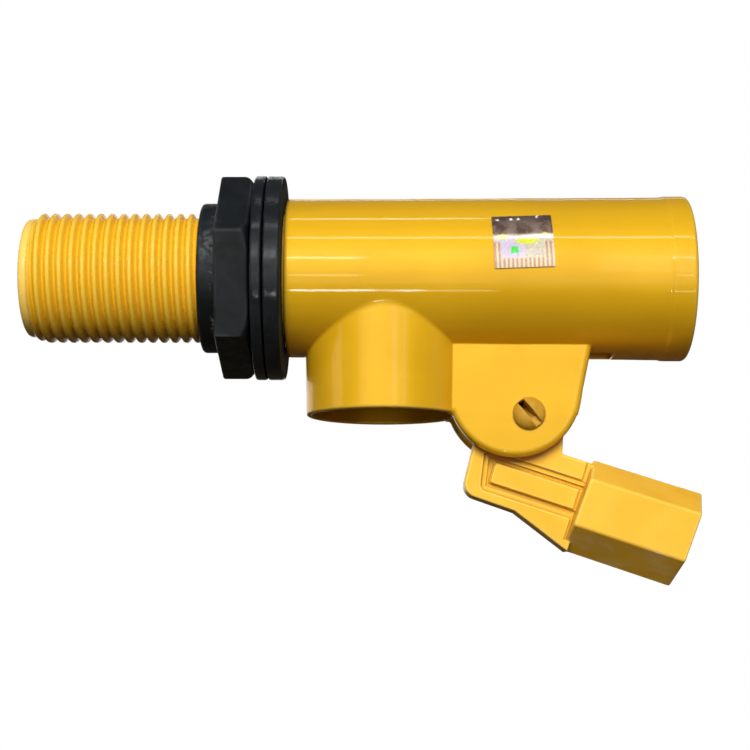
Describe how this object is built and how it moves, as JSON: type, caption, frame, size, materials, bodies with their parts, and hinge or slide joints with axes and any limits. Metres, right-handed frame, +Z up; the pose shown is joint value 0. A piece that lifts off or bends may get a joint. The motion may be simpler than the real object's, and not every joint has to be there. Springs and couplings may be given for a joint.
{
  "type": "piston float valve",
  "caption": "Piston float valve for a water tank: threaded inlet with lock nut and washers, downward outlet, and a pivoted lever with a hexagonal rod socket.",
  "frame": {"origin": "on the barrel's and inlet's common axis, in the plane where the tank wall is clamped: between the two rubber washers", "axes": "+X from the threaded inlet towards the barrel's open end; +Z up, so the outlet points to -Z; +Y across, along the lever's pivot pin"},
  "size_m": [0.107, 0.0328, 0.0652],
  "materials": {
    "barrel_plastic": "glossy amber-yellow moulding",
    "nipple_plastic": "satin orange-yellow moulding",
    "washer_rubber": "black rubber with a soft shine",
    "nut_plastic": "matte black moulding",
    "inner_plastic": "natural white moulding",
    "disc_rubber": "black rubber",
    "lever_plastic": "satin yellow moulding",
    "pin_plastic": "satin yellow moulding",
    "label_foil": "reflective holographic foil"
  },
  "bodies": {
    "root": {"barrel": "barrel_plastic", "inlet_nipple": "nipple_plastic", "inner_washer": "washer_rubber", "nozzle_seat": "inner_plastic", "pivot_pin": "pin_plastic", "hologram_label": "label_foil"},
    "lever": {"float_lever": "lever_plastic"},
    "piston": {"piston": "inner_plastic", "piston_cap": "inner_plastic", "seat_disc": "disc_rubber"},
    "outer_washer": {"outer_washer": "washer_rubber"},
    "lock_nut": {"lock_nut": "nut_plastic"}
  },
  "joints": [
    {"name": "lever_pivot", "type": "hinge", "parent": "root", "child": "lever", "pos_m": [0.04103, 0, -0.0225], "axis": [0, 1, 0], "range_deg": [-18.06, 23.94]},
    {"name": "piston_slide", "type": "slide", "parent": "root", "child": "piston", "axis": [1, 0, 0], "range_m": [-0.0045, 0.00596]},
    {"name": "lock_nut_spin", "type": "hinge", "parent": "outer_washer", "child": "lock_nut", "pos_m": [0, 0, 0], "axis": [-1, 0, 0], "range_deg": [0, 4320]},
    {"name": "outer_washer_slide", "type": "slide", "parent": "root", "child": "outer_washer", "axis": [-1, 0, 0], "range_m": [0, 0.0218]}
  ],
  "couplings": [
    {"joint": "piston_slide", "follows": "lever_pivot", "m_per_rad": 0.01424},
    {"joint": "outer_washer_slide", "follows": "lock_nut_spin", "m_per_rad": 0.00028871}
  ]
}
